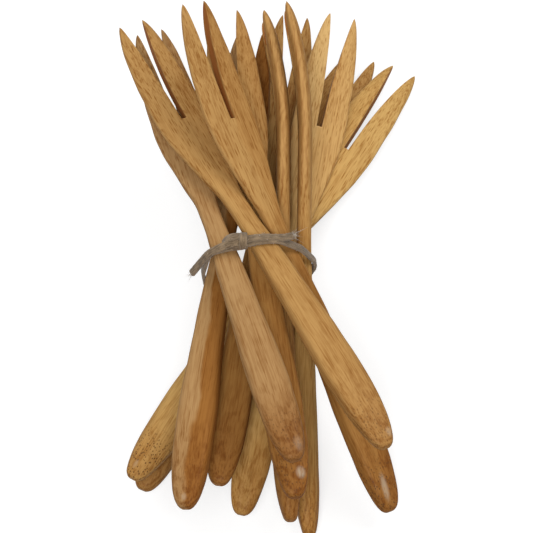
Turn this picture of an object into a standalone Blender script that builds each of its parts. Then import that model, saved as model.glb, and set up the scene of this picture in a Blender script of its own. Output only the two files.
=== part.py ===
# Pack of eleven carved bamboo forks, tied round their necks with one flat suede lace.
# The pack lies on a table with its tines towards +Y. Sizes are in millimetres, and the model is in metres.
import bmesh
import bpy
import numpy as np
from mathutils import Matrix, Vector

MM = 0.001

# One fork, measured along its length from the handle end at 0 to the tips
FORK_LENGTH = 170.0
WIDTHS = (
    (0, 2.6), (0.4, 4.0), (1.2, 5.6), (3, 7.5), (6, 9.2), (10, 10.6), (16, 11.8), (27, 12.3), (40, 11.5),
    (54, 10.0), (67, 9.1), (79, 7.8), (90, 6.6), (98, 7.0), (107, 10.4), (116, 13.8), (124, 16.6),
    (132, 17.8), (143, 17.2), (152, 16.0), (160, 14.1), (165, 12.1), (168, 10.3), (170, 8.6),
)
THICKNESSES = (
    (0, 2.2), (0.4, 3.2), (1.2, 4.2), (3, 5.2), (6, 6.4), (10, 7.4), (16, 8.2), (27, 8.8), (42, 8.6),
    (60, 7.2), (78, 5.6), (92, 4.7), (106, 4.5), (150, 4.5), (158, 4.4), (163, 4.0), (167, 3.1),
    (169, 2.0), (170, 1.1),
)
FRONT_SHARE = 0.45  # of the thickness, in front of the widest line
FRONT_FLATNESS = 3.4  # superellipse powers: 2 is round, and more is flatter with tighter corners
BACK_FLATNESS = 2.2
LIFT_START = 124.0
TIP_LIFT = 6.5  # how far the tips curve forward
DROP_LENGTH = 55.0
END_DROP = 3.0  # how far the handle's end curves back
SLOT_START = 131.5
SLOT_WIDTHS = ((0, 1.7), (9, 2.1), (17, 2.9), (24, 4.1), (31, 5.7), (38.5, 7.9), (42.5, 9.2))
CUTTER_HEIGHT = 60.0
SECTION_POINTS = 16
SHARP_ANGLE = 40.0
STATIONS = (
    0, 0.4, 1.2, 3, 6, 10, 16, 27, 39, 50, 62, 74, 84, 92, 98, 103, 108, 114, 120, 126, 132, 138, 145,
    152, 158, 162, 165, 167, 168.5, 169.5, 170,
)

# Each fork in the pack: where its neck crosses the plane y = 0, and how it points.
# across and up place its middle in that plane, and along is the plane's distance from its handle end.
# swing turns its tines to the right, tilt lifts them, and roll turns its front to the right.
PACK = {
    # name: across, up, along, swing, tilt, roll
    "fork_01": (0.5, 14.0, 79.5, -28, -5, 8),
    "fork_02": (8.0, 9.0, 86.5, -23, 13, 25),
    "fork_03": (9.0, -11.0, 77.5, 10.5, 4.5, 10),
    "fork_04": (-0.5, -16.0, 75.5, 30.5, 3, 180),
    "fork_05": (-7.0, -25.0, 70.5, 24.5, 4.5, 180),
    "fork_06": (-11.5, 11.0, 81.0, -16, -11, 0),
    "fork_07": (13.5, -1.5, 84.5, 1, 14, -88),
    "fork_08": (7.0, 1.5, 84.0, 0.5, 5, -88),
    "fork_09": (-2.0, -7.0, 73.0, 8, -4, 0),
    "fork_10": (0.0, 8.0, 83.0, -7.5, -2.5, 0),
    "fork_11": (-12.0, 1.0, 85.0, 7, -5, -12),
}

# Turns about X and Y, in degrees, that lay the tied pack down on its two lowest forks and its lace
PACK_TURN = (1.0, 9.3)

# The flat suede lace. Its loop lies in the plane y = LOOP_AT + LOOP_SLOPE * x.
LACE_WIDTH = 2.4
LACE_THICKNESS = 1.2
LACE_EASE = 0.3
LOOP_AT = -1.5
LOOP_SLOPE = 0.14
GAP = 0.45
NECK_REACH = 6.0
RING_DIRECTIONS = 60

# The half knot: a core of crossed strands, one strand folded over on its left and back under it, a turn
# across them and two cut tails.
# Each is a smooth line through its points, and the lace's face looks away from the point given last.
KNOT_CENTRE = (-6.8, -1.4, 17.2)
KNOT_SIZE = (5.6, 3.8, 3.2)
STRANDS = {
    # name: (points along the strand, point count, point that its face looks away from)
    "fold": (
        ((-4.4, -0.6, 18.4), (-6.6, -0.4, 19.1), (-9.0, -0.7, 18.7), (-10.6, -1.2, 17.4),
         (-11.0, -1.6, 15.9)),
        12, (-7.6, -1.4, 16.0),
    ),
    "under": (
        ((-10.4, -2.6, 16.4), (-8.4, -3.1, 16.7), (-6.4, -3.3, 17.0), (-4.6, -3.0, 17.2)),
        8, (-7.4, -0.6, 16.2),
    ),
    "turn": (
        ((-4.9, 0.6, 16.6), (-4.9, 0.9, 18.2), (-4.9, 0.1, 19.4), (-4.9, -1.5, 19.9), (-4.9, -3.1, 19.0),
         (-4.9, -3.8, 17.4), (-4.9, -3.2, 16.4)),
        18, (-4.9, -1.4, 17.2),
    ),
    "right_tail": (
        ((-5.5, -1.5, 18.1), (-2.0, -0.9, 18.5), (2.0, -0.5, 18.4), (5.5, -0.2, 17.4), (8.5, 0.5, 16.3),
         (10.4, 1.6, 15.6)),
        14, (1.0, -4.0, 0.0),
    ),
    "left_tail": (
        ((-6.5, -1.8, 18.1), (-9.5, -2.7, 17.8), (-12.4, -3.5, 16.7), (-15.4, -4.1, 14.6),
         (-17.8, -4.6, 10.0), (-21.0, -5.3, 3.6)),
        16, (-6.0, 3.0, 3.0),
    ),
}

# Base colours, linear
BAMBOO = {"golden": (0.48, 0.29, 0.095), "tan": (0.38, 0.21, 0.072), "brown": (0.25, 0.125, 0.045)}
SHADES = {
    "golden": ("fork_01", "fork_02", "fork_03", "fork_07"),
    "tan": ("fork_06", "fork_08", "fork_10", "fork_11", "fork_04"),
    "brown": ("fork_05", "fork_09"),
}
BAMBOO_ROUGHNESS = 0.5
SUEDE = (0.22, 0.17, 0.13)
SUEDE_ROUGHNESS = 0.95


def smooth(at, knots):
    """A smooth curve through the knots that never overshoots them: cubic pieces with limited slopes."""
    x, y = np.array(knots, float).T
    step = np.diff(x)
    rise = np.diff(y) / step
    slope = np.zeros_like(x)
    same = rise[1:] * rise[:-1] > 0
    mean = 2 * rise[1:] * rise[:-1] / np.where(same, rise[1:] + rise[:-1], 1)
    slope[1:-1] = np.where(same, mean, 0)
    slope[0], slope[-1] = rise[0], rise[-1]
    i = np.clip(np.searchsorted(x, at, side="right") - 1, 0, len(step) - 1)
    t = (at - x[i]) / step[i]
    start, end = y[i], y[i + 1]
    bend = slope[i] * step[i] * t * (1 - t) ** 2 - slope[i + 1] * step[i] * t**2 * (1 - t)
    return start + (end - start) * t * t * (3 - 2 * t) + bend


def middle(along):
    """How far the fork's middle line lies in front of its neck at this distance along it."""
    to_tips = np.clip(along - LIFT_START, 0, None) / (FORK_LENGTH - LIFT_START)
    to_end = np.clip(DROP_LENGTH - along, 0, None) / DROP_LENGTH
    return TIP_LIFT * to_tips**2 - END_DROP * to_end**2


def section(along):
    """The fork's outline at one station, as points round the middle line: a flat front, a rounder back."""
    turn = 2 * np.pi * (np.arange(SECTION_POINTS) + 0.5) / SECTION_POINTS
    power = 2 / np.where(np.sin(turn) > 0, FRONT_FLATNESS, BACK_FLATNESS)
    share = np.where(np.sin(turn) > 0, FRONT_SHARE, 1 - FRONT_SHARE)
    x = smooth(along, WIDTHS) / 2 * np.sign(np.cos(turn)) * np.abs(np.cos(turn)) ** power
    z = smooth(along, THICKNESSES) * share * np.sign(np.sin(turn)) * np.abs(np.sin(turn)) ** power
    return [(px, along, pz + middle(along)) for px, pz in zip(x, z)]


def placement(across, up, along, swing, tilt, roll):
    """The fork's matrix in metres: it is turned about the point of its neck in the plane y = 0."""
    swung = Matrix.Rotation(-np.radians(swing), 4, "Z")
    tilted = Matrix.Rotation(np.radians(tilt), 4, "X")
    rolled = Matrix.Rotation(np.radians(roll), 4, "Y")
    neck = Matrix.Translation((across * MM, 0, up * MM))
    return neck @ swung @ tilted @ rolled @ Matrix.Translation((0, -along * MM, 0))


def loft(name, rings, closed=False):
    """A skin through rings of points, joined end to end or with a flat face at each end."""
    bm = bmesh.new()
    loops = [[bm.verts.new(np.array(point) * MM) for point in ring] for ring in rings]
    last = len(loops) if closed else len(loops) - 1
    for near, far in zip(loops[:last], loops[1:] + loops[:1]):
        for i in range(len(near)):
            bm.faces.new((near[i - 1], near[i], far[i], far[i - 1]))
    if not closed:
        bm.faces.new(loops[0])
        bm.faces.new(loops[-1])
    bmesh.ops.recalc_face_normals(bm, faces=bm.faces)
    return mesh_from(name, bm)


def mesh_from(name, bm):
    mesh = bpy.data.meshes.new(name)
    bm.to_mesh(mesh)
    bm.free()
    mesh.shade_smooth()
    mesh.set_sharp_from_angle(angle=np.radians(SHARP_ANGLE))
    return mesh


def add(name, mesh, collection, hidden=False):
    obj = bpy.data.objects.new(name, mesh)
    collection.objects.link(obj)
    obj.hide_render = hidden
    if hidden:
        obj.display_type = "WIRE"
    return obj


def collection(name):
    made = bpy.data.collections.new(name)
    bpy.context.scene.collection.children.link(made)
    return made


def material(name, colour, roughness):
    made = bpy.data.materials.new(name)
    made.use_nodes = True
    shader = made.node_tree.nodes["Principled BSDF"]
    shader.inputs["Base Color"].default_value = (*colour, 1)
    shader.inputs["Roughness"].default_value = roughness
    shader.inputs["Metallic"].default_value = 0
    return made


def boolean(obj, other, operation):
    modifier = obj.modifiers.new(other.name, "BOOLEAN")
    modifier.object = other
    modifier.operation = operation
    modifier.solver = "EXACT"


def slot_cutter(helpers):
    """The gap between the tines: it opens from its square bottom along a slight curve, to past the tips."""
    corners = ((1, 1), (-1, 1), (-1, -1), (1, -1))
    rings = [
        [(x * width / 2, SLOT_START + along, z * CUTTER_HEIGHT / 2) for x, z in corners]
        for along, width in SLOT_WIDTHS
    ]
    return add("slot_cutter", loft("slot_cutter", rings), helpers, hidden=True)


def fork_mesh(helpers):
    """One carved fork: a lofted blank whose head is split by the slot. All eleven forks share it."""
    skin = loft("fork_blank", [section(along) for along in STATIONS])
    blank = add("fork_blank", skin, helpers, hidden=True)
    boolean(blank, slot_cutter(helpers), "DIFFERENCE")
    graph = bpy.context.evaluated_depsgraph_get()
    carved = bpy.data.meshes.new_from_object(blank.evaluated_get(graph))
    carved.name = "fork"
    carved.materials.append(None)
    return carved


def forks(parts, helpers, pack):
    carved = fork_mesh(helpers)
    made = []
    for name, row in PACK.items():
        fork = add(name, carved, parts)
        fork.parent = pack
        fork.matrix_local = placement(*row)
        fork.material_slots[0].link = "OBJECT"
        shade = next(shade for shade, names in SHADES.items() if name in names)
        fork.material_slots[0].material = material(name + "_bamboo", BAMBOO[shade], BAMBOO_ROUGHNESS)
        made.append(fork)
    return made


def neck_points():
    """Where the forks' skins cross the two edges of the lace, as (x, z) points."""
    found = []
    for row in PACK.values():
        place = placement(*row)
        along = row[2]
        before_and_after = [
            [place @ (Vector(point) * MM) / MM for point in section(along + step)]
            for step in (-NECK_REACH, NECK_REACH)
        ]
        for near, far in zip(*before_and_after):
            before, after = (p.y - LOOP_AT - LOOP_SLOPE * p.x for p in (near, far))
            for edge in (-LACE_WIDTH / 2, LACE_WIDTH / 2):
                point = near.lerp(far, (edge - before) / (after - before))
                found.append((point.x, point.z))
    return np.array(found)


def ring():
    """The tight loop, as points and directions: in each outward direction it meets the outermost neck."""
    points = neck_points()
    turn = np.linspace(0, 2 * np.pi, RING_DIRECTIONS, endpoint=False)
    outward = np.stack([np.cos(turn), np.sin(turn)], axis=1)
    touched = points[np.argmax(points @ outward.T, axis=0)]
    x, z = (touched + outward * (GAP + LACE_THICKNESS / 2)).T
    return (
        np.stack([x, LOOP_AT + LOOP_SLOPE * x, z], axis=1),
        np.stack([outward[:, 0], LOOP_SLOPE * outward[:, 0], outward[:, 1]], axis=1),
    )


def route(points, count):
    """Evenly counted points on a smooth line through the given ones."""
    at = np.linspace(0, len(points) - 1, count)
    return np.stack([smooth(at, list(enumerate(axis))) for axis in zip(*points)], axis=1)


def ribbon(name, path, outward, closed=False):
    """The lace along a path: a flat strip with eased edges, its face towards the outward directions."""
    if closed:
        ahead = np.roll(path, -1, axis=0) - np.roll(path, 1, axis=0)
    else:
        ahead = np.gradient(path, axis=0)
    ahead /= np.linalg.norm(ahead, axis=1, keepdims=True)
    aside = np.cross(ahead, outward)
    aside /= np.linalg.norm(aside, axis=1, keepdims=True)
    facing = np.cross(aside, ahead)
    half_width, half_thickness = LACE_WIDTH / 2, LACE_THICKNESS / 2
    corners = [
        (half_width, half_thickness - LACE_EASE), (half_width - LACE_EASE, half_thickness),
        (LACE_EASE - half_width, half_thickness), (-half_width, half_thickness - LACE_EASE),
        (-half_width, LACE_EASE - half_thickness), (LACE_EASE - half_width, -half_thickness),
        (half_width - LACE_EASE, -half_thickness), (half_width, LACE_EASE - half_thickness),
    ]
    rings = [[p + a * side + f * face for side, face in corners] for p, a, f in zip(path, aside, facing)]
    return loft(name, rings, closed)


def tie_cord(parts, helpers, pack):
    """The lace as one piece: its loop, its knot and its two cut tails."""
    path, outward = ring()
    tie = add("tie_cord", ribbon("tie_cord", path, outward, closed=True), parts)
    bm = bmesh.new()
    size = Matrix.Diagonal((*(np.array(KNOT_SIZE) / 2 * MM), 1))
    where = Matrix.Translation(np.array(KNOT_CENTRE) * MM)
    bmesh.ops.create_icosphere(bm, subdivisions=2, radius=1, matrix=where @ size)
    pieces = [add("knot_core", mesh_from("knot_core", bm), helpers, hidden=True)]
    for name, (points, count, centre) in STRANDS.items():
        strand = route(points, count)
        pieces.append(add(name, ribbon(name, strand, strand - np.array(centre)), helpers, hidden=True))
    for piece in pieces:
        piece.parent = pack
        boolean(tie, piece, "UNION")
    tie.parent = pack
    tie.data.materials.append(material("suede", SUEDE, SUEDE_ROUGHNESS))
    return tie


def box_of(objects):
    graph = bpy.context.evaluated_depsgraph_get()
    found = []
    for obj in objects:
        shape = obj.evaluated_get(graph)
        mesh = shape.to_mesh()
        found += [shape.matrix_world @ vert.co for vert in mesh.vertices]
        shape.to_mesh_clear()
    return np.min(found, axis=0), np.max(found, axis=0)


def main():
    for obj in list(bpy.data.objects):
        bpy.data.objects.remove(obj, do_unlink=True)
    parts = collection("wooden_cutlery_pack")
    helpers = collection("cutters")
    pack = add("pack", None, parts)
    pack.rotation_euler = (*np.radians(PACK_TURN), 0)
    made = forks(parts, helpers, pack)
    made.append(tie_cord(parts, helpers, pack))
    low, high = box_of(made)
    pack.location = (-(low[0] + high[0]) / 2, -(low[1] + high[1]) / 2, -low[2])


main()
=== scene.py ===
# Looks for a tied bundle of carved bamboo forks
from math import radians

import bmesh
import bpy
import numpy as np
from mathutils import Matrix, Vector


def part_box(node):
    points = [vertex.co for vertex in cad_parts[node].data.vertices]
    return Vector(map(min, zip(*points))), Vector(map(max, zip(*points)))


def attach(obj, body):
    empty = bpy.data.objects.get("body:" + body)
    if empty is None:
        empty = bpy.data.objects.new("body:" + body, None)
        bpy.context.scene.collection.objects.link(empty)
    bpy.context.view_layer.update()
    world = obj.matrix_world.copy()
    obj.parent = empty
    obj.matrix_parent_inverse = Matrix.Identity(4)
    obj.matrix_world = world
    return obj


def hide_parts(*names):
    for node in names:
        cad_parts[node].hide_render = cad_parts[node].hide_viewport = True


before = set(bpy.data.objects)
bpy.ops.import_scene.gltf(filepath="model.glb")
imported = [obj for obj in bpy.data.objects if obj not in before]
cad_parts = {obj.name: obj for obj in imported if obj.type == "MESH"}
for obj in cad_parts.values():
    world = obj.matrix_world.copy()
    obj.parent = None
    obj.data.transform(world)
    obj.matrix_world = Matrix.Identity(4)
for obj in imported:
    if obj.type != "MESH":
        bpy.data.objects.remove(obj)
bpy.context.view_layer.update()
mm = 0.001
fullTurn = 6.28     # radians, for the phases of waves
print("frame loaded:", len(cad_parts), "nodes")


# How one fork is carved, in millimetres from its handle end to its tips, as in the CAD model
forkShape = {
    "length": 170.0,
    "widths": (
        (0, 2.6), (0.4, 4.0), (1.2, 5.6), (3, 7.5), (6, 9.2), (10, 10.6), (16, 11.8), (27, 12.3),
        (40, 11.5), (54, 10.0), (67, 9.1), (79, 7.8), (90, 6.6), (98, 7.0), (107, 10.4), (116, 13.8),
        (124, 16.6), (132, 17.8), (143, 17.2), (152, 16.0), (160, 14.1), (165, 12.1), (168, 10.3),
        (170, 8.6),
    ),
    "thicknesses": (
        (0, 2.2), (0.4, 3.2), (1.2, 4.2), (3, 5.2), (6, 6.4), (10, 7.4), (16, 8.2), (27, 8.8),
        (42, 8.6), (60, 7.2), (78, 5.6), (92, 4.7), (106, 4.5), (150, 4.5), (158, 4.4), (163, 4.0),
        (167, 3.1), (169, 2.0), (170, 1.1),
    ),
    "frontShare": 0.45,    # share of the thickness in front of the middle line
    "frontPower": 3.4,     # superellipse power of the flatter front
    "backPower": 2.2,      # and of the rounder back
    "liftStart": 124.0,    # from here the tips curve up
    "tipLift": 6.5,
    "dropLength": 55.0,    # over this length the handle end drops
    "endDrop": 3.0,
    "slotStart": 131.5,
    "slotWidths": ((0, 1.7), (9, 2.1), (17, 2.9), (24, 4.1), (31, 5.7), (38.5, 7.9), (42.5, 9.2)),
    "easedEdge": 0.3,      # radius of the sanded edge along the slot
    "easedShare": 0.4,     # but no more than this share of a tine's width
    "tipRound": 1.2,
}

# Rows of points along a fork and points round it, closest where it curves most
forkMesh = {
    "endCap": (0, 0.35, 0.7, 0.93),               # shares of the first section that close the end
    "end": (0.06, 0.15, 0.27, 0.4, 0.6, 0.85),    # millimetres
    "handle": (1.2, 20, 0.55),                    # from, to and step
    "neck": (20, 118, 1.4),
    "head": (118, 131, 0.9),
    "tine": 0.85,
    "tipRows": 9,
    "edge": (0, 0.2, 0.55, 1.0),                  # shares of the eased edge
    "outside": 15,                                # points from the edge to the side
    "slotBottom": 5,                              # points across the slot's bottom, between its edges
    "slotWall": 4,
}

# Each fork in the bundle, as in the CAD model: where its neck crosses the plane y = 0, in millimetres,
# and how it points, in degrees: across, up, along, swing, tilt, roll
bundle = {
    "fork_01": (0.5, 14.0, 79.5, -28, -5, 8),
    "fork_02": (8.0, 9.0, 86.5, -23, 13, 25),
    "fork_03": (9.0, -11.0, 77.5, 10.5, 4.5, 10),
    "fork_04": (-0.5, -16.0, 75.5, 30.5, 3, 180),
    "fork_05": (-7.0, -25.0, 70.5, 24.5, 4.5, 180),
    "fork_06": (-11.5, 11.0, 81.0, -16, -11, 0),
    "fork_07": (13.5, -1.5, 84.5, 1, 14, -88),
    "fork_08": (7.0, 1.5, 84.0, 0.5, 5, -88),
    "fork_09": (-2.0, -7.0, 73.0, 8, -4, 0),
    "fork_10": (0.0, 8.0, 83.0, -7.5, -2.5, 0),
    "fork_11": (-12.0, 1.0, 85.0, 7, -5, -12),
}
packTurn = Matrix.Rotation(radians(9.3), 4, "Y") @ Matrix.Rotation(radians(1.0), 4, "X")


# A smooth curve through knots that never overshoots: cubic pieces whose slopes are the harmonic means
def smoothCurve(at, knots):
    x, y = np.array(knots, float).T
    step = np.diff(x)
    rise = np.diff(y) / step
    slope = np.zeros_like(x)
    same = rise[1:] * rise[:-1] > 0
    slope[1:-1] = np.where(same, 2 * rise[1:] * rise[:-1] / np.where(same, rise[1:] + rise[:-1], 1), 0)
    slope[0], slope[-1] = rise[0], rise[-1]
    i = np.clip(np.searchsorted(x, at, side="right") - 1, 0, len(step) - 1)
    t = (at - x[i]) / step[i]
    bend = slope[i] * step[i] * t * (1 - t) ** 2 - slope[i + 1] * step[i] * t**2 * (1 - t)
    return y[i] + (y[i + 1] - y[i]) * t * t * (3 - 2 * t) + bend


# Height of the middle line: a parabola up to the tips and another down to the handle end
def middleLine(s):
    f = forkShape
    toTips = np.clip(s - f["liftStart"], 0, None) / (f["length"] - f["liftStart"])
    toEnd = np.clip(f["dropLength"] - s, 0, None) / f["dropLength"]
    return f["tipLift"] * toTips**2 - f["endDrop"] * toEnd**2


# Half the slot's width: a smooth curve that opens from its square bottom to the tips
def slotHalf(s):
    f = forkShape
    return smoothCurve(np.clip(s - f["slotStart"], 0, None), f["slotWidths"]) / 2


# How much a rounded edge of radius r has fallen at distance d from the cut: a quarter circle
def easedDrop(d, r):
    inside = np.clip(r - d, 0, r)
    return r - np.sqrt(np.clip(r * r - inside * inside, 0, None))


# Half a section, from the front inner corner round the outer edge to the back inner corner.
# x = half width * cos(a)^(2/power), z = share of the thickness * sin(a)^(2/power), and the first
# few points stand at fixed distances from the inner corner, where the edge is eased.
def halfSection(s, inner):
    f = forkShape
    half = smoothCurve(s, f["widths"])[:, None] / 2
    thick = smoothCurve(s, f["thicknesses"])[:, None]
    inner = inner[:, None]
    ease = np.minimum(f["easedEdge"], (half - inner) * f["easedShare"])
    near = inner + ease * np.array(forkMesh["edge"])
    front = f["frontPower"], f["frontShare"], 1
    back = f["backPower"], 1 - f["frontShare"], -1
    xs, zs = [], []
    for power, share, side in (front, back):
        start = np.arccos(np.clip(near[:, -1:] / half, 0, 1) ** (power / 2))
        angle = start * np.linspace(1, 0, forkMesh["outside"] + 1)[1:]
        x = np.concatenate([near, half * np.cos(angle) ** (2 / power)], axis=1)
        z = side * share * thick * np.clip(1 - (x / half) ** power, 0, None) ** (1 / power)
        xs.append(x if side > 0 else x[:, ::-1][:, 1:])
        zs.append(z if side > 0 else z[:, ::-1][:, 1:])
    return np.concatenate(xs, axis=1), np.concatenate(zs, axis=1)


# Faces between rows of points. Wrapped rows close on themselves, and a closed grid's last row meets
# its first.
def gridFaces(rows, columns, wrapped, closed=False):
    steps = np.arange(rows if closed else rows - 1), np.arange(columns if wrapped else columns - 1)
    r, c = np.meshgrid(*steps, indexing="ij")
    near, far = r * columns, (r + 1) % rows * columns
    after = (c + 1) % columns
    return np.stack([near + c, near + after, far + after, far + c], axis=-1).reshape(-1, 4)


# The handle, neck and head up to the slot. The ring of points runs front inner corner, right edge,
# back middle, left edge, front middle.
def handleGrid():
    f, m = forkShape, forkMesh
    cut = f["slotStart"]
    s = np.concatenate([
        np.zeros(len(m["endCap"])), m["end"],
        *(np.arange(*m[part]) for part in ("handle", "neck", "head")),
        cut - f["easedEdge"] * np.array(m["edge"])[::-1],
    ])
    shrink = np.ones_like(s)
    shrink[:len(m["endCap"])] = m["endCap"]
    inner = slotHalf(s)
    half = inner[0]
    x, z = halfSection(s, inner)
    count = m["slotBottom"]
    middleX = np.tile(half * np.linspace(1, -1, count + 2)[1:-1], (len(s), 1))
    frontZ, backZ = np.tile(z[:, :1], (1, count)), np.tile(z[:, -1:], (1, count))
    ringX = np.concatenate([x, middleX, -x[:, ::-1], -middleX], axis=1)
    ringZ = np.concatenate([z, backZ, z[:, ::-1], frontZ], axis=1)
    away = np.hypot(np.clip(np.abs(ringX) - half, 0, None), (cut - s)[:, None])
    ringZ -= np.sign(ringZ) * easedDrop(away, f["easedEdge"])
    ringX = ringX * shrink[:, None]
    ringZ = ringZ * shrink[:, None]
    y = np.tile(s[:, None], (1, ringX.shape[1]))
    return np.stack([ringX, y, ringZ + middleLine(s)[:, None]], axis=-1)


# One tine: the outer half section and the slot's curved wall, drawn in to a rounded tip.
# pull = square root of (1 - (distance into the tip / its radius)^2).
def tineGrid():
    f, m = forkShape, forkMesh
    last = f["length"] - f["tipRound"]
    tip = last + f["tipRound"] * np.sin(np.linspace(0, np.pi / 2, m["tipRows"]))
    s = np.concatenate([np.arange(f["slotStart"], last, m["tine"]), tip])
    inner = slotHalf(s)
    half = smoothCurve(s, f["widths"]) / 2
    x, z = halfSection(s, inner)
    ease = np.minimum(f["easedEdge"], (half - inner) * f["easedShare"])[:, None]
    z = z - np.sign(z) * easedDrop(x - inner[:, None], ease)
    share = np.linspace(0, 1, m["slotWall"] + 2)[1:-1]
    wallZ = z[:, -1:] + (z[:, :1] - z[:, -1:]) * share
    wallX = np.tile(inner[:, None], (1, m["slotWall"]))
    x = np.concatenate([x, wallX], axis=1)
    z = np.concatenate([z, wallZ], axis=1)
    pull = np.sqrt(np.clip(1 - (np.clip(s - last, 0, None) / f["tipRound"]) ** 2, 0, 1))[:, None]
    centre = (inner + half)[:, None] / 2
    x = centre + (x - centre) * pull
    y = np.tile(s[:, None], (1, x.shape[1]))
    return np.stack([x, y, z * pull + middleLine(s)[:, None]], axis=-1)


# The square bottom of the slot: straight lines between the front and the back edge
def slotFloor(handle):
    edge, bottom = handle[-1], forkMesh["slotBottom"]
    count = len(edge)
    half = count // 2 - bottom
    back = edge[half - 1:half + bottom + 1]
    front = np.concatenate([edge[:1], edge[:-bottom - 1:-1], edge[-bottom - 1:-bottom]])
    share = np.linspace(0, 1, forkMesh["slotWall"] + 2)[:, None, None]
    return back[None] + (front - back)[None] * share


# The whole fork: the handle, a tine, its mirror image and the slot's bottom, as one set of points
def forkPoints():
    handle = handleGrid()
    tine = tineGrid()
    mirrored = tine * np.array([-1, 1, 1])
    floor = slotFloor(handle)
    points, faces, start = [], [], 0
    for grid, wrapped in ((handle, True), (tine, True), (mirrored, True), (floor, False)):
        rows, columns = grid.shape[:2]
        points.append(grid.reshape(-1, 3))
        faces.append(gridFaces(rows, columns, wrapped) + start)
        start += rows * columns
    return np.concatenate(points), np.concatenate(faces)


# The fork's turn and place: tines swung to the right, tilted up, then rolled about its own length
def placement(across, up, along, swing, tilt, roll):
    turned = (
        Matrix.Rotation(-radians(swing), 4, "Z") @ Matrix.Rotation(radians(tilt), 4, "X")
        @ Matrix.Rotation(radians(roll), 4, "Y")
    )
    return Matrix.Translation((across, 0, up)) @ turned @ Matrix.Translation((0, -along, 0))


def moved(points, matrix):
    m = np.array(matrix)
    return points @ m[:3, :3].T + m[:3, 3]


# The bundle's own origin, from the boxes of the CAD forks
def bundleOrigin(points):
    gaps = []
    for name, row in bundle.items():
        low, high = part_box(name)
        place = moved(points, packTurn @ placement(*row))
        gaps.append((np.array(low) + np.array(high)) / 2 / mm - (place.min(0) + place.max(0)) / 2)
    print("spread of the origin in mm:", np.ptp(gaps, axis=0).round(3))
    return np.mean(gaps, axis=0)


# A mesh object whose place is in its vertices, with doubles merged and faces turned outwards
def meshPiece(name, points, faces, attributes=None, sharp=40):
    mesh = bpy.data.meshes.new(name)
    mesh.from_pydata(points.tolist(), [], faces.tolist())
    for key, values in (attributes or {}).items():
        kind, field = ("FLOAT_VECTOR", "vector") if values.ndim == 2 else ("FLOAT", "value")
        layer = mesh.attributes.new(key, kind, "POINT")
        layer.data.foreach_set(field, values.astype(np.float32).ravel())
    bm = bmesh.new()
    bm.from_mesh(mesh)
    bmesh.ops.remove_doubles(bm, verts=bm.verts, dist=2e-6)
    bmesh.ops.dissolve_degenerate(bm, edges=bm.edges, dist=1e-7)
    bmesh.ops.recalc_face_normals(bm, faces=bm.faces)
    bm.to_mesh(mesh)
    bm.free()
    mesh.shade_smooth()
    mesh.set_sharp_from_angle(angle=radians(sharp))
    piece = bpy.data.objects.new(name, mesh)
    bpy.context.scene.collection.objects.link(piece)
    return piece


# One socket of a shader tree, so that shader maths reads as arithmetic
class Wire:
    def __init__(self, shader, socket):
        self.shader = shader
        self.socket = socket

    def maths(self, operation, *values):
        return self.shader.node("ShaderNodeMath", {"operation": operation}, dict(enumerate(values)))

    def __add__(self, other):
        return self.maths("ADD", self, other)

    def __sub__(self, other):
        return self.maths("SUBTRACT", self, other)

    def __mul__(self, other):
        return self.maths("MULTIPLY", self, other)

    def __rsub__(self, other):
        return self.maths("SUBTRACT", other, self)

    __radd__ = __add__
    __rmul__ = __mul__

    def above(self, low, high):  # smooth step from 0 at low to 1 at high
        return self.shader.node(
            "ShaderNodeMapRange", {"interpolation_type": "SMOOTHSTEP"},
            {"Value": self, "From Min": low, "From Max": high},
        )


class Shader:
    def __init__(self, name):
        self.material = bpy.data.materials.new(name)
        self.material.use_nodes = True
        self.tree = self.material.node_tree
        self.surface = self.tree.nodes["Principled BSDF"]

    def feed(self, socket, value):
        if isinstance(value, Wire):
            self.tree.links.new(value.socket, socket)
        else:
            socket.default_value = value

    def node(self, kind, settings=None, sockets=None, out=0):
        made = self.tree.nodes.new(kind)
        for key, value in (settings or {}).items():
            setattr(made, key, value)
        for key, value in (sockets or {}).items():
            self.feed(made.inputs[key], value)
        return Wire(self, made.outputs[out])

    def attribute(self, name, out):  # out 1 is a vector, 2 a number
        return self.node("ShaderNodeAttribute", {"attribute_name": name}, out=out)

    def colourMix(self, factor, first, second, blend="MIX"):
        asColour = [(*c, 1) if isinstance(c, tuple) else c for c in (first, second)]
        settings = {"data_type": "RGBA", "blend_type": blend}
        return self.node("ShaderNodeMix", settings, {0: factor, 6: asColour[0], 7: asColour[1]}, out=2)

    def vector(self, operation, first, second):
        return self.node("ShaderNodeVectorMath", {"operation": operation}, {0: first, 1: second})

    def noise(self, vector, repeats, detail=2.0, out=0):
        stretched = self.vector("MULTIPLY", vector, repeats)
        sockets = {"Vector": stretched, "Scale": 1.0, "Detail": detail}
        return self.node("ShaderNodeTexNoise", None, sockets, out=out)

    def cells(self, vector, repeats):
        stretched = self.vector("MULTIPLY", vector, repeats)
        return self.node("ShaderNodeTexVoronoi", None, {"Vector": stretched, "Scale": 1.0})

    def part(self, vector, axis):  # one coordinate of a vector, 0 to 2
        return self.node("ShaderNodeSeparateXYZ", None, {0: vector}, out=axis)

    def finish(self, sockets):
        for key, value in sockets.items():
            self.feed(self.surface.inputs[key], value)
        return self.material


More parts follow.
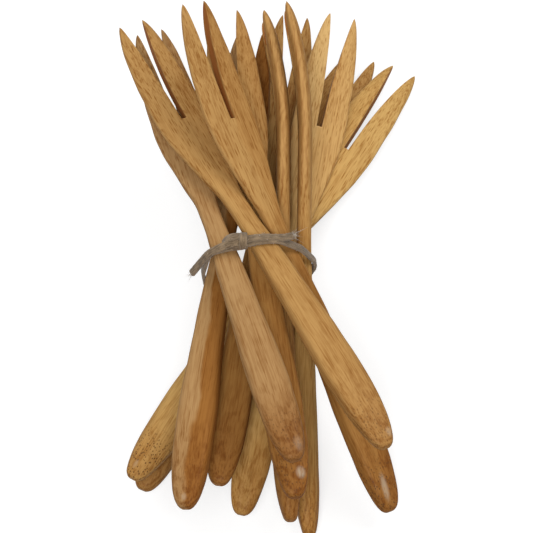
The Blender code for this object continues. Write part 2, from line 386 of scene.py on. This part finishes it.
# Bamboo is a solid: vascular strands run along the fork, so a long face cuts them into streaks and
# the rounded ends cut them into dots. The grain attribute holds the fork's own millimetres.
bamboo = {
    "streakSize": (0.6, 30.0),       # millimetres across and along
    "dashSize": (0.62, 5.0),
    "fleckSize": (0.42, 1.7),
    "poreRepeats": (1.25, 0.9, 1.25),    # repeats a millimetre: across, along and through
    "fibreRepeats": (2.2, 0.1, 2.2),
    "bandRepeats": (1 / 2.6, 0.02, 1 / 2.6),
    "cloudRepeats": (0.09, 0.04, 0.09),
    "figureRepeats": (0.16, 0.1, 0.16),
    "swayRepeats": (0.03, 0.022, 0.03),
    "sway": 1.5,                     # millimetres that the strands stray
    "figureEvery": 1.7,              # millimetres between the growth layers that a curved face cuts
    "figureStray": 3.5,
    "seedStep": (37.1, 91.7, 53.3),  # from one fork's place in the wood to the next one's
    "endZone": (2.0, 32.0),          # millimetres over which each part of the fork fades into the next
    "headZone": (70.0, 112.0),
    "dashZone": (85.0, 118.0),
    "tipZone": (112.0, 150.0),
    "depths": {                      # how much each one darkens the wood
        "streak": 0.26, "dash": 0.14, "headDash": 0.36, "fleck": 0.24, "fibre": 0.3, "band": 0.22,
        "cloud": 0.16, "figure": 0.1, "endFigure": 0.22, "rimFigure": 0.4,
    },
    "strandTint": (0.56, 0.42, 0.28),    # what each of these keeps of the wood's colour
    "endDarkTint": (0.66, 0.51, 0.36),
    "sideShadeTint": (0.72, 0.52, 0.28),
    "wallShadeTint": (0.60, 0.33, 0.22),
    "rimHighlightTint": (1.25, 1.27, 1.4),
    "poreColour": (0.10, 0.042, 0.015),
    # pale colour of the painted highlights near the handle ends
    "paintedHighlightColour": (0.50, 0.40, 0.28),
    "paintedHighlightLift": 2.8,               # a painted highlight's centre, over or under the middle line
    "roughness": 0.66,
    "polish": 0.04,
    "bump": 0.00004,
}


def tinted(colour, share):
    return tuple(min(1.0, c * s) for c, s in zip(colour, share))


# A painted highlight: 1 at its centre, falling with the distance in half widths and half lengths, and
# broken up by the fibres
def paintedHighlightPlace(sh, grain, fibre, spot, roll):
    x, s, halfWidth, halfLength, strength = spot
    lift = -bamboo["paintedHighlightLift"] if abs(roll) > 90 else bamboo["paintedHighlightLift"]  # the face that lies up
    away = sh.vector("SUBTRACT", grain, (x, s, float(middleLine(s)) + lift))
    away = sh.vector("MULTIPLY", away, (1 / halfWidth, 1 / halfLength, 1 / 3))
    away = sh.node("ShaderNodeVectorMath", {"operation": "LENGTH"}, {0: away}, out=1)
    return (1 - away.above(0.3, 1.3)) * (fibre.above(0.2, 0.6) * 0.5 + 0.2) * strength


def bambooMaterial(name, headWood, handleWood, endDark, pores, layer, spot, seed, roll):
    b, depths = bamboo, bamboo["depths"]
    sh = Shader(name)
    grain = sh.attribute("grain", 1)
    across, along, through = (sh.part(grain, axis) for axis in (0, 1, 2))
    place = sh.vector("ADD", grain, tuple(seed * step for step in b["seedStep"]))
    sway = sh.vector("SUBTRACT", sh.noise(place, b["swayRepeats"], 1.0, out=1), (0.5, 0.5, 0.5))
    place = sh.vector("ADD", place, sh.vector("MULTIPLY", sway, (b["sway"], 0, b["sway"])))

    def strandCells(size):
        return sh.cells(place, (1 / size[0], 1 / size[1], 1 / size[0]))

    def shaded(colour, tint):
        return sh.colourMix(1.0, colour, tint, "MULTIPLY")

    end = 1 - along.above(*b["endZone"])
    tip = along.above(*b["tipZone"])
    streak = 1 - strandCells(b["streakSize"]).above(0.14, 0.5)
    dash = 1 - strandCells(b["dashSize"]).above(0.16, 0.36)
    fleck = (1 - strandCells(b["fleckSize"]).above(0.14, 0.4)) * (tip + end)
    fibre = sh.noise(place, b["fibreRepeats"], 3.0)
    band = sh.noise(place, b["bandRepeats"], 3.0)
    cloud = sh.noise(place, b["cloudRepeats"], 3.0)
    layers = through * (1 / b["figureEvery"]) + sh.noise(place, b["figureRepeats"]) * b["figureStray"]
    figure = layers.maths("SINE", layers * fullTurn) * 0.5 + 0.5
    pore = (1 - sh.cells(place, b["poreRepeats"]).above(0.2, 0.36)) * end.above(0.3, 0.9) * pores
    rim = sh.attribute("rim", 2)
    dashDepth = along.above(*b["dashZone"]) * depths["headDash"] + depths["dash"]
    figureDepth = rim.above(0.0, 0.7) * depths["rimFigure"] + depths["figure"]
    figureDepth += end * depths["endFigure"]
    depth = (
        streak * depths["streak"] + dash * dashDepth + fleck * depths["fleck"]
        + fibre.above(0.38, 0.62) * depths["fibre"] + band.above(0.35, 0.68) * depths["band"]
        + cloud.above(0.38, 0.7) * depths["cloud"] + figure.above(0.3, 1.0) * figureDepth
    )
    wood = sh.colourMix(along.above(*b["headZone"]), handleWood, headWood)
    colour = sh.colourMix(depth.above(0.02, 1.15), wood, shaded(wood, b["strandTint"]))
    # painted shade: one side of each fork (across above 0, with a cloudy border) darker by the side
    # shade strength in its tones
    side = (across + (cloud - 0.5) * 9.0).above(-0.6, 0.9)
    colour = sh.colourMix(side * layer, colour, shaded(colour, b["sideShadeTint"]))
    # darker towards the handle end
    colour = sh.colourMix(end * endDark, colour, shaded(colour, b["endDarkTint"]))
    colour = sh.colourMix(pore * 0.85, colour, b["poreColour"])
    # painted highlight: a pale bluish line along the head's outer edges and the slot's edges
    colour = sh.colourMix(rim.above(0.5, 1.0) * 0.4, colour, tinted(headWood, b["rimHighlightTint"]))
    # the slot's walls darker and redder: partly painted shade inside the slot, partly the cut wood's
    # browner tone
    colour = sh.colourMix((0 - rim).above(0.0, 1.0) * 0.8, colour, tinted(headWood, b["wallShadeTint"]))
    # painted highlight: the patch pales the colour, and the same mask gives the coat real gloss
    glossAndPaintedHighlight = paintedHighlightPlace(sh, grain, fibre, spot, roll) if spot else 0.0
    if spot:
        colour = sh.colourMix(glossAndPaintedHighlight, colour, b["paintedHighlightColour"])
    height = fibre * 0.5 + (1 - dash) * 0.4 + (1 - pore) * 0.8
    bump = sh.node("ShaderNodeBump", None, {"Strength": 0.5, "Distance": b["bump"], "Height": height})
    rough = fibre * 0.16 + band * 0.1 + (b["roughness"] - 0.13)  # 0.13 is their mean
    return sh.finish({
        "Base Color": colour, "Roughness": rough, "Normal": bump, "Specular IOR Level": 0.06,
        "Coat Weight": end * b["polish"] + glossAndPaintedHighlight * 0.2, "Coat Roughness": 0.3,
    })


# Each fork's woods and marks: wood of its head and of its handle, how brown its handle end is, how
# many pores show there, how strong the painted shade on one side of it is, and a painted highlight near
# the end as x, distance from the end, half width, half length and strength
cream, straw, honey = (0.62, 0.395, 0.155), (0.58, 0.355, 0.12), (0.455, 0.256, 0.085)
tan, amber = (0.41, 0.238, 0.096), (0.36, 0.175, 0.046)
# Painted light: the heads of fork_05 and fork_09, fork_03's handle and partly its cream head have woods
# paler than their own, to make up for the shade they lie in
tones = {
    "fork_01": (honey, honey, 0.5, 0.6, 0.1, (2.4, 3.2, 1.1, 1.5, 0.5)),
    "fork_02": (honey, amber, 0.6, 1.0, 0.3, (-1.0, 7.0, 1.25, 4.6, 0.8)),
    "fork_03": (cream, straw, 0.7, 0.2, 0.3, None),
    "fork_04": (straw, straw, 0.6, 1.0, 0.1, (1.0, 4.0, 0.7, 1.5, 0.5)),
    "fork_05": (honey, honey, 0.6, 0.3, 0.2, None),
    "fork_06": (tan, tan, 1.0, 0.6, 0.1, (2.2, 3.6, 1.6, 2.6, 0.3)),
    "fork_07": (honey, straw, 0.8, 0.5, 0.2, None),
    "fork_08": (honey, honey, 0.8, 0.3, 0.2, None),
    "fork_09": (honey, amber, 0.5, 0.2, 0.1, None),
    "fork_10": (honey, amber, 0.6, 0.8, 0.2, (2.4, 6.5, 1.5, 1.9, 0.9)),
    "fork_11": (tan, tan, 0.35, 0.3, 1.0, (-0.3, 2.5, 1.0, 1.2, 0.5)),
}

# What the hand leaves on every fork. The sanding and the knife take off shares of the half width.
carving = {
    "waviness": 0.035,
    "waves": ((0.11, 1), (0.23, 2), (0.37, 0), (0.52, 3)),    # radians a millimetre, turns round it
    "facets": 0.055,       # the flats that the knife leaves near the handle end
    "facetTurns": 3.0,
    "facetTwist": 0.05,    # radians a millimetre
    "facetStart": 3.0,
    "facetReach": 34.0,
    "rimShare": 0.1,       # the rim, made pale by a painted highlight: this share of the half width
    "rimWidth": 0.5,       # and this many millimetres beside the slot
    "rimStart": 95.0,      # it fades in over the neck
    "rimFade": 20.0,
    "wallHeight": 3.2,     # of the band inside the slot that is darkened, partly painted shade and partly the cut wood's browner tone
}


# The carved shape is drawn in towards its middle line, by 1 - waviness * (mean wave + 1) / 2 - facets
# * |sin(turns * bearing + twist * distance)|, and then turned and put in its place
def makeForks(points, faces, origin):
    f, c = forkShape, carving
    x, s, z = points.T
    lift = middleLine(s)
    fromSlot = np.abs(x) - slotHalf(s)
    walled = (np.abs(fromSlot) < 0.02) & (s > f["slotStart"] - 0.01)  # within rounding
    wall = walled & (np.abs(z - lift) < c["wallHeight"] / 2)
    fromEdge = 1 - np.abs(x) / (smoothCurve(s, f["widths"]) / 2)
    atEdge = np.clip(1 - fromEdge / c["rimShare"], 0, 1)
    atSlot = np.clip(1 - fromSlot / c["rimWidth"], 0, 1) * (s > f["slotStart"] - 0.4)
    rim = np.maximum(atEdge, atSlot) * np.clip((s - c["rimStart"]) / c["rimFade"], 0, 1)
    bearing = np.arctan2(z - lift, x)
    for seed, (name, row) in enumerate(bundle.items(), 1):
        dice = np.random.default_rng(seed)
        waves = sum(
            np.sin(s * rate + dice.uniform(0, fullTurn) + bearing * turns) for rate, turns in c["waves"]
        ) / len(c["waves"])
        facetPhase = dice.uniform(0, fullTurn / 2)
        flats = np.abs(np.sin(bearing * c["facetTurns"] + s * c["facetTwist"] + facetPhase))
        flats = flats * np.clip(1 - s / c["facetReach"], 0, 1) * np.clip(s / c["facetStart"], 0, 1)
        inset = 1 - c["waviness"] * (0.5 + 0.5 * waves) - c["facets"] * flats
        own = np.stack([x * inset, s, (z - lift) * inset + lift], axis=1)
        place = (moved(own, packTurn @ placement(*row)) + origin) * mm
        # rim: above 0 the edges with their painted highlight, -1 on the slot's walls with their painted
        # shade
        attributes = {"grain": points, "rim": np.where(wall, -1.0, rim)}
        piece = meshPiece("carved_" + name, place, faces, attributes)
        piece.data.materials.append(bambooMaterial(name + "Bamboo", *tones[name], seed, row[5]))
        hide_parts(name)
        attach(piece, "root")
    print("forks carved:", len(bundle), "with", len(faces), "faces each")


# The flat suede lace, in millimetres from the bundle's own origin
lace = {
    "width": 2.4,
    "thickness": 1.2,
    "widthPower": 5.0,     # superellipse powers of its section: a flat strip with worn edges
    "thicknessPower": 3.0,
    "sectionPoints": 24,
    "wear": 0.07,          # how far waves change its width and thickness, as a share
    "waves": ((0.45, 0), (0.9, 2), (1.9, 1), (3.1, 4), (4.4, 3), (6.0, 7)),    # as a fork's
    "endRound": 0.5,
    "gap": 0.3,
    "loopAt": -1.5,        # the loop lies in the plane y = loopAt + loopSlope * x
    "loopSlope": 0.14,
    "neckReach": 6.0,      # this far on both sides of the plane a neck's skin is taken as straight
    "directions": 180,
    "pointEvery": 0.25,
    "softness": 1.1,       # how far along the lace a bend is spread
    "knotStart": 115.0,    # direction of the knot from the loop's middle, in degrees
    "knotRun": 2.0,        # how far into the knot its strands leave the measured route
    "pathEvery": 4,
    "knotCentre": (-6.8, -1.4, 17.2),
    "knotSize": (5.6, 3.8, 3.2),
    "knotRows": 17,
    "knotColumns": 24,
    "seed": 40,
}
# Each strand is a soft line through its points, and its face looks away from the point given last
strands = {
    "fold": (
        ((-4.4, -0.6, 18.4), (-6.6, -0.4, 19.1), (-9.0, -0.7, 18.7), (-10.6, -1.2, 17.4),
         (-11.0, -1.6, 15.9)),
        (-7.6, -1.4, 16.0),
    ),
    "under": (
        ((-10.4, -2.6, 16.4), (-8.4, -3.1, 16.7), (-6.4, -3.3, 17.0), (-4.6, -3.0, 17.2)),
        (-7.4, -0.6, 16.2),
    ),
    "turn": (
        ((-4.9, 0.6, 16.6), (-4.9, 0.9, 18.2), (-4.9, 0.1, 19.4), (-4.9, -1.5, 19.9), (-4.9, -3.1, 19.0),
         (-4.9, -3.8, 17.4), (-4.9, -3.2, 16.4)),
        (-4.9, -1.4, 17.2),
    ),
    "rightTail": (
        ((-5.5, -1.5, 18.1), (-2.0, -0.9, 18.5), (2.0, -0.5, 18.4), (5.5, -0.2, 17.4), (8.5, 0.5, 16.3),
         (10.4, 1.6, 15.6)),
        (1.0, -4.0, 0.0),
    ),
    "leftTail": (
        ((-6.5, -1.8, 18.1), (-9.5, -2.7, 17.8), (-12.4, -3.5, 16.7), (-15.4, -4.1, 14.6),
         (-17.8, -4.6, 10.0), (-21.0, -5.3, 3.6)),
        (-6.0, 3.0, 3.0),
    ),
}


# Evenly spaced points on a line through the given ones, each averaged with its neighbours under a
# bell curve, so that the bends are soft. The ends stay where they are.
def softLine(points, closed=False):
    every, softness = lace["pointEvery"], lace["softness"]
    p = np.array(points, float)
    if closed:
        p = np.concatenate([p, p[:1]])
    lengths = np.concatenate([[0], np.cumsum(np.linalg.norm(np.diff(p, axis=0), axis=1))])
    at = np.linspace(0, lengths[-1], int(round(lengths[-1] / every)) + 1)
    even = np.stack([np.interp(at, lengths, axis) for axis in p.T], axis=1)
    reach = int(3 * softness / every)
    bell = np.exp(-0.5 * (np.arange(-reach, reach + 1) * every / softness) ** 2)
    bell /= bell.sum()
    if closed:
        padded = np.concatenate([even[-reach - 1:-1], even, even[1:reach + 1]])
    else:
        before, after = 2 * even[0] - even[reach:0:-1], 2 * even[-1] - even[-2:-reach - 2:-1]
        padded = np.concatenate([before, even, after])
    soft = np.stack([np.convolve(axis, bell, mode="valid") for axis in padded.T], axis=1)
    return soft[:-1] if closed else soft


# The tight loop: straight lines along each fork's skin cross the loop's plane, and in each outward
# direction the lace meets the outermost crossing. It starts at the knot.
def loopLine():
    l = lace
    found = []
    for row in bundle.values():
        s = row[2] + np.array([-1, 1]) * l["neckReach"]
        x, z = halfSection(s, np.zeros(2))
        z = z + middleLine(s)[:, None]
        x, z = np.concatenate([x, -x], axis=1), np.concatenate([z, z], axis=1)
        y = np.tile(s[:, None], (1, x.shape[1]))
        near, far = moved(np.stack([x, y, z], axis=-1), placement(*row))
        before, after = (p[:, 1] - l["loopAt"] - l["loopSlope"] * p[:, 0] for p in (near, far))
        for edge in (-l["width"] / 2, l["width"] / 2):
            found.append(near + (far - near) * ((edge - before) / (after - before))[:, None])
    skins = np.concatenate(found)[:, [0, 2]]
    turn = radians(l["knotStart"]) + np.linspace(0, 2 * np.pi, l["directions"], endpoint=False)
    outward = np.stack([np.cos(turn), np.sin(turn)], axis=1)
    clear = outward * (l["gap"] + l["thickness"] / 2)
    x, z = (skins[np.argmax(skins @ outward.T, axis=0)] + clear).T
    return np.stack([x, l["loopAt"] + l["loopSlope"] * x, z], axis=1)


# The lace along a line. Its section is x = half width * cos(a)^(2/power), z = half thickness *
# sin(a)^(2/power), with waves that wear it, and an open end is drawn in to a rounded one.
def laceStrip(line, centre, dice, closed=False):
    l = lace
    if closed:
        ahead = np.roll(line, -1, axis=0) - np.roll(line, 1, axis=0)
    else:
        ahead = np.gradient(line, axis=0)
    ahead /= np.linalg.norm(ahead, axis=1, keepdims=True)
    aside = np.cross(ahead, line - np.array(centre))
    aside /= np.linalg.norm(aside, axis=1, keepdims=True)
    facing = np.cross(aside, ahead)
    rows, columns = len(line), l["sectionPoints"]
    angle = np.linspace(0, 2 * np.pi, columns, endpoint=False)[None]
    along = np.arange(rows)[:, None] * l["pointEvery"]
    waves = sum(
        np.sin(along * rate + angle * turns + dice.uniform(0, fullTurn)) for rate, turns in l["waves"]
    ) / len(l["waves"])
    size = 1 + l["wear"] * waves
    if not closed:
        end = np.clip(np.minimum(along, along[::-1]) / l["endRound"], 0, 1)
        size = size * np.sqrt(np.clip(1 - (1 - end) ** 2, 0, 1))
    cos, sin = np.cos(angle), np.sin(angle)
    x = l["width"] / 2 * np.sign(cos) * np.abs(cos) ** (2 / l["widthPower"]) * size
    z = l["thickness"] / 2 * np.sign(sin) * np.abs(sin) ** (2 / l["thicknessPower"]) * size
    points = line[:, None] + x[..., None] * aside[:, None] + z[..., None] * facing[:, None]
    nap = np.stack([x, np.tile(along, (1, columns)), z], axis=-1)
    return points.reshape(-1, 3), nap.reshape(-1, 3), gridFaces(rows, columns, True, closed)


# The crossed strands inside the knot, as an ellipsoid with poles: x = cos(u) cos(v),
# y = cos(u) sin(v), z = sin(u)
def knotCore():
    rows, columns = lace["knotRows"], lace["knotColumns"]
    u = np.linspace(-np.pi / 2, np.pi / 2, rows)[:, None]
    v = np.linspace(0, 2 * np.pi, columns, endpoint=False)[None]
    ball = np.broadcast_arrays(np.cos(u) * np.cos(v), np.cos(u) * np.sin(v), np.sin(u))
    points = np.stack(ball, axis=-1) * np.array(lace["knotSize"]) / 2 + np.array(lace["knotCentre"])
    nap = points - points.mean((0, 1))
    return points.reshape(-1, 3), nap.reshape(-1, 3), gridFaces(rows, columns, True)


# Loose fibres stand out of the lace on all sides, and in a brush at the end of each tail
fray = {
    "edgeFibres": 420,
    "edgeReach": 0.45,
    "tailFibres": {"rightTail": 67, "leftTail": 22},
    "tailReach": 2.1,
    "tailSpread": 0.32,                # how far their roots are scattered
    "tailFan": 0.45,                   # and their directions
    "curl": 0.35,
    "radius": 0.065,
    "taper": (0, 1, 0.8, 0.55, 0),     # shares of the radius along a fibre
    "pale": (0.62, 0.55, 0.46),
    "dull": (0.36, 0.3, 0.24),
    "changes": (900, 900, 900),        # repeats a metre between the two colours
}


# Each fibre is a thin three-sided tube round start + reach * t + bend * t^2
def fibreTubes(starts, reaches, dice):
    f = fray
    count, steps = len(starts), len(f["taper"])
    t = np.linspace(0, 1, steps)[None, :, None]
    bend = dice.normal(0, f["curl"], (count, 1, 3)) * np.linalg.norm(reaches, axis=1)[:, None, None]
    middle = starts[:, None] + reaches[:, None] * t + bend * t**2
    first = np.cross(reaches, dice.normal(0, 1, (count, 3)))
    first /= np.linalg.norm(first, axis=1, keepdims=True)
    second = np.cross(reaches, first)
    second /= np.linalg.norm(second, axis=1, keepdims=True)
    radius = f["radius"] * np.array(f["taper"])[None, :, None, None]
    angle = np.array([0, 2, 4])[None, None, :, None] * np.pi / 3
    rings = middle[:, :, None] + radius * (
        np.cos(angle) * first[:, None, None] + np.sin(angle) * second[:, None, None]
    )
    faces = gridFaces(steps, 3, True)[None] + np.arange(count)[:, None, None] * steps * 3
    return rings.reshape(-1, 3), faces.reshape(-1, 4)


# Suede on the nap attribute: the strip's own millimetres across, along and through it
suede = {
    "lineRepeats": (3.2, 0.35, 3.2),
    "mottleRepeats": (0.5, 0.4, 0.5),
    "pileRepeats": (7.0, 4.0, 7.0),
    "light": (0.26, 0.182, 0.107),
    "dark": (0.092, 0.06, 0.032),
    "worn": (0.36, 0.275, 0.185),
    "wornFrom": (0.95, 1.2),     # millimetres from the middle to the worn edge
    "roughness": 0.95,
    "sheen": 0.2,
    "bump": 0.00012,
}


def suedeMaterial():
    l = suede
    sh = Shader("taupeSuede")
    nap = sh.attribute("nap", 1)
    lines = sh.noise(nap, l["lineRepeats"], 3.0)
    mottle = sh.noise(nap, l["mottleRepeats"], 3.0)
    pile = sh.noise(nap, l["pileRepeats"])
    depth = lines.above(0.3, 0.7) * 0.5 + mottle.above(0.35, 0.7) * 0.3 + pile.above(0.3, 0.7) * 0.3
    colour = sh.colourMix(depth.above(0.05, 1.0), l["light"], l["dark"])
    across = sh.part(nap, 0)
    edge = across.maths("ABSOLUTE", across).above(*l["wornFrom"])
    colour = sh.colourMix(edge * 0.35, colour, l["worn"])
    height = lines * 0.6 + pile * 0.6
    bump = sh.node("ShaderNodeBump", None, {"Strength": 0.8, "Distance": l["bump"], "Height": height})
    return sh.finish({
        "Base Color": colour, "Roughness": l["roughness"], "Normal": bump, "Specular IOR Level": 0.2,
        "Sheen Weight": l["sheen"], "Sheen Roughness": 0.6,
    })


def fibreMaterial():
    sh = Shader("paleFibre")
    place = sh.node("ShaderNodeTexCoord", out=3)  # Object coordinates, in metres
    change = sh.noise(place, fray["changes"]).above(0.35, 0.65)
    colour = sh.colourMix(change, fray["pale"], fray["dull"])
    return sh.finish({"Base Color": colour, "Roughness": 0.9, "Specular IOR Level": 0.2})


def makeFibres(skin, lines, placed, dice):
    f = fray
    starts = [skin[dice.integers(0, len(skin), f["edgeFibres"])]]
    outward = dice.normal(0, 1, starts[0].shape)
    reaches = [outward * (f["edgeReach"] / np.linalg.norm(outward, axis=1, keepdims=True))]
    for name, count in f["tailFibres"].items():
        line = lines[name]
        ahead = line[-1] - line[-8]
        ahead = ahead / np.linalg.norm(ahead)
        starts.append(line[-3] + dice.normal(0, f["tailSpread"], (count, 3)))
        spread = ahead + dice.normal(0, f["tailFan"], (count, 3))
        reaches.append(spread * f["tailReach"] * dice.uniform(0.4, 1, (count, 1)))
    tubes, faces = fibreTubes(np.concatenate(starts), np.concatenate(reaches), dice)
    fuzz = meshPiece("lace_fibres", placed(tubes), faces, sharp=180)
    fuzz.data.materials.append(fibreMaterial())
    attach(fuzz, "root")
    print("lace frayed:", len(faces), "faces in its fibres")


def makeLace(origin):
    l = lace
    dice = np.random.default_rng(l["seed"])
    loop = softLine(loopLine(), closed=True)
    parts = [laceStrip(loop, loop.mean(0), dice, closed=True), knotCore()]
    lines = {}
    for name, (points, faceFrom) in strands.items():
        lines[name] = softLine(points)
        parts.append(laceStrip(lines[name], faceFrom, dice))
    points, nap, faces = (list(group) for group in zip(*parts))
    starts = np.cumsum([0] + [len(own) for own in points])
    faces = np.concatenate([own + start for own, start in zip(faces, starts)])

    def placed(p):
        return (moved(p, packTurn) + origin) * mm

    attributes = {"nap": np.concatenate(nap)}
    piece = meshPiece("suede_lace", placed(np.concatenate(points)), faces, attributes, sharp=60)
    piece.data.materials.append(suedeMaterial())
    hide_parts("tie_cord")
    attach(piece, "root")
    through = int(l["knotRun"] / l["pointEvery"])  # the lace goes straight through its knot each time
    route = placed(softLine(np.concatenate([
        lines["leftTail"][:through:-1], loop[:through:-1][through:], lines["rightTail"][through:],
    ])))
    makeFibres(np.concatenate(points[:1] + points[2:]), lines, placed, dice)


# Camera: the bundle's origin falls on a known pixel, seen from above the handles. Focal length =
# pixels a millimetre * distance * sensor's width / image's width.
view = {
    "elevation": 62.0,
    "distance": 850.0,
    "pixelsPerMm": 3.22,
    "imageSize": 533,
    "originPixel": (259.5, 264.0),
    "sensor": 36.0,
}


def makeCamera(origin):
    v = view
    middle = v["imageSize"] / 2
    tilt = radians(v["elevation"])
    up = np.array([0, np.sin(tilt), np.cos(tilt)])
    back = np.array([0, -np.cos(tilt), np.sin(tilt)])
    right = np.array([1.0, 0, 0])
    across = (middle - v["originPixel"][0]) / v["pixelsPerMm"]
    down = (middle - v["originPixel"][1]) / v["pixelsPerMm"]
    place = right * across - up * down + back * v["distance"]
    data = bpy.data.cameras.new("camera")
    data.sensor_width = v["sensor"]
    data.lens = v["pixelsPerMm"] * v["distance"] * v["sensor"] / v["imageSize"]
    data.clip_end = 20
    camera = bpy.data.objects.new("camera", data)
    turned = packTurn @ Matrix.Rotation(radians(90 - v["elevation"]), 4, "X")
    camera.matrix_world = Matrix.Translation((moved(place, packTurn) + origin) * mm) @ turned
    bpy.context.scene.collection.objects.link(camera)
    bpy.context.scene.camera = camera


# Soft studio light: a large lamp high on the right behind, one near the camera, a weak one on the
# left behind, and a pale world
lights = {
    "key": {"place": (0.65, 0.35, 0.9), "size": 0.8, "power": 6.8},
    "front": {"place": (0.05, -0.62, 0.95), "size": 0.55, "power": 7.8},
    "back": {"place": (-0.75, 0.65, 0.6), "size": 0.6, "power": 3.0},
}
stage = {
    "worldLight": 0.27,
    "floorSize": 6,
    "floorColour": 0.4,    # what the floor gives back of the light, shadow and all
    "floorGlow": 0.68,     # what it adds for the camera and for reflections, so that it shows pale
}


def makeStage():
    bpy.ops.mesh.primitive_plane_add(size=stage["floorSize"])
    floor = bpy.context.object
    floor.name = "floor"
    sh = Shader("paleFloor")
    camera = sh.node("ShaderNodeLightPath")
    glossy = sh.node("ShaderNodeLightPath", out=3)
    glow = sh.colourMix(camera.maths("MAXIMUM", camera, glossy), (0.0,) * 3, (stage["floorGlow"],) * 3)
    sh.finish({
        "Base Color": (*(stage["floorColour"],) * 3, 1), "Roughness": 0.9, "Specular IOR Level": 0.2,
        "Emission Color": glow, "Emission Strength": 1.0,
    })
    floor.data.materials.append(sh.material)
    for name, lamp in lights.items():
        data = bpy.data.lights.new(name, "AREA")
        data.shape = "DISK"
        data.size = lamp["size"]
        data.energy = lamp["power"]
        obj = bpy.data.objects.new(name, data)
        obj.location = lamp["place"]
        obj.rotation_euler = (-Vector(lamp["place"])).to_track_quat("-Z", "Y").to_euler()
        bpy.context.scene.collection.objects.link(obj)
    world = bpy.data.worlds.new("studio")
    bpy.context.scene.world = world
    world.use_nodes = True
    light = world.node_tree.nodes["Background"].inputs
    light["Color"].default_value = (1, 1, 1, 1)
    light["Strength"].default_value = stage["worldLight"]
    bpy.context.scene.view_settings.view_transform = "Standard"
    print("stage set:", len(lights), "lamps")


points, faces = forkPoints()
origin = bundleOrigin(points)
print("bundle origin in mm:", origin.round(3))
makeCamera(origin)
makeLace(origin)
makeForks(points, faces, origin)
makeStage()
